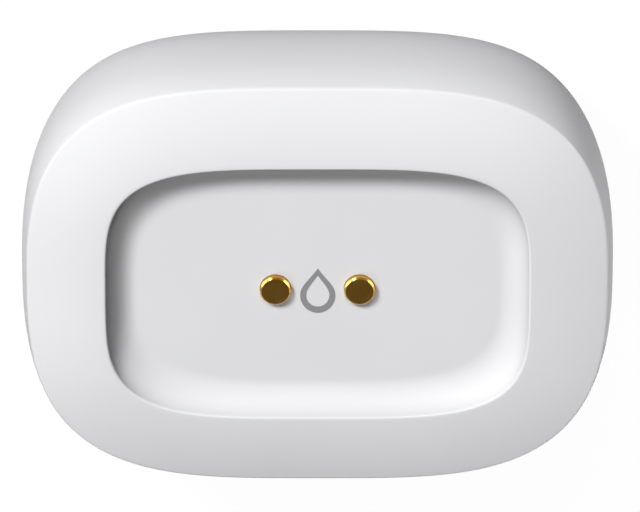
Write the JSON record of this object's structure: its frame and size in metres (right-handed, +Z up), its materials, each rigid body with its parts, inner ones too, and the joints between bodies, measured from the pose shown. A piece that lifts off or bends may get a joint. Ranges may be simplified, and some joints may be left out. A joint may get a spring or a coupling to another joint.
{
  "type": "water leak sensor",
  "caption": "Rounded oblong water leak sensor that lies on the floor, with a sunk drip tray, probe pins, metal feet and a round battery door.",
  "frame": {"origin": "on the floor, under the middle of the sensor", "axes": "+X along the length, +Y towards the side that the tip of the drop symbol points to, +Z up out of the drip tray"},
  "size_m": [0.052, 0.04, 0.0171],
  "materials": {
    "white_plastic": "fine satin moulding",
    "black_plastic": "matt",
    "gold_plate": "polished gold plating",
    "steel": "bright",
    "silicone_rubber": "matt",
    "board_laminate": "solder mask",
    "ceramic": "matt"
  },
  "bodies": {
    "case": {"top_housing": "white_plastic", "base_cover": "white_plastic", "base_gasket": "silicone_rubber", "coin_cell": "steel", "battery_holder": "black_plastic", "battery_contact_positive": "steel", "battery_contact_negative": "steel", "circuit_board": "board_laminate", "radio_module_board": "board_laminate", "radio_shield": "steel", "antenna": "gold_plate", "controller_chip": "black_plastic", "memory_chip": "black_plastic", "sensing_amplifier": "black_plastic", "clock_crystal": "steel", "temperature_sensor": "black_plastic", "status_led": "ceramic", "smoothing_capacitor": "ceramic", "voltage_inductor": "ceramic", "input_diode": "black_plastic", "pairing_switch_body": "steel", "drip_probe_left": "gold_plate", "drip_probe_right": "gold_plate", "drip_probe_seal_left": "silicone_rubber", "drip_probe_seal_right": "silicone_rubber", "floor_probe_front_left": "gold_plate", "floor_probe_front_right": "gold_plate", "floor_probe_rear_left": "gold_plate", "floor_probe_rear_right": "gold_plate", "floor_probe_seal_front_left": "silicone_rubber", "floor_probe_seal_front_right": "silicone_rubber", "floor_probe_seal_rear_left": "silicone_rubber", "floor_probe_seal_rear_right": "silicone_rubber", "floor_probe_spring_front_left": "gold_plate", "floor_probe_spring_front_right": "gold_plate", "floor_probe_spring_rear_left": "gold_plate", "floor_probe_spring_rear_right": "gold_plate", "case_screw_front_left": "steel", "case_screw_front_right": "steel", "case_screw_rear_left": "steel", "case_screw_rear_right": "steel"},
    "door": {"battery_door": "white_plastic", "door_seal": "silicone_rubber"},
    "pairing_button": {"pairing_switch_button": "black_plastic"}
  },
  "joints": [
    {"name": "door_turn", "type": "hinge", "parent": "case", "child": "door", "pos_m": [0, 0, 0.0025], "axis": [0, 0, 1], "range_deg": [0, 45]},
    {"name": "pairing_button_press", "type": "slide", "parent": "case", "child": "pairing_button", "axis": [0, 0, 1], "range_m": [0, 0.00025], "stiffness_N_per_m": 2000, "springref_m": -0.0003}
  ]
}
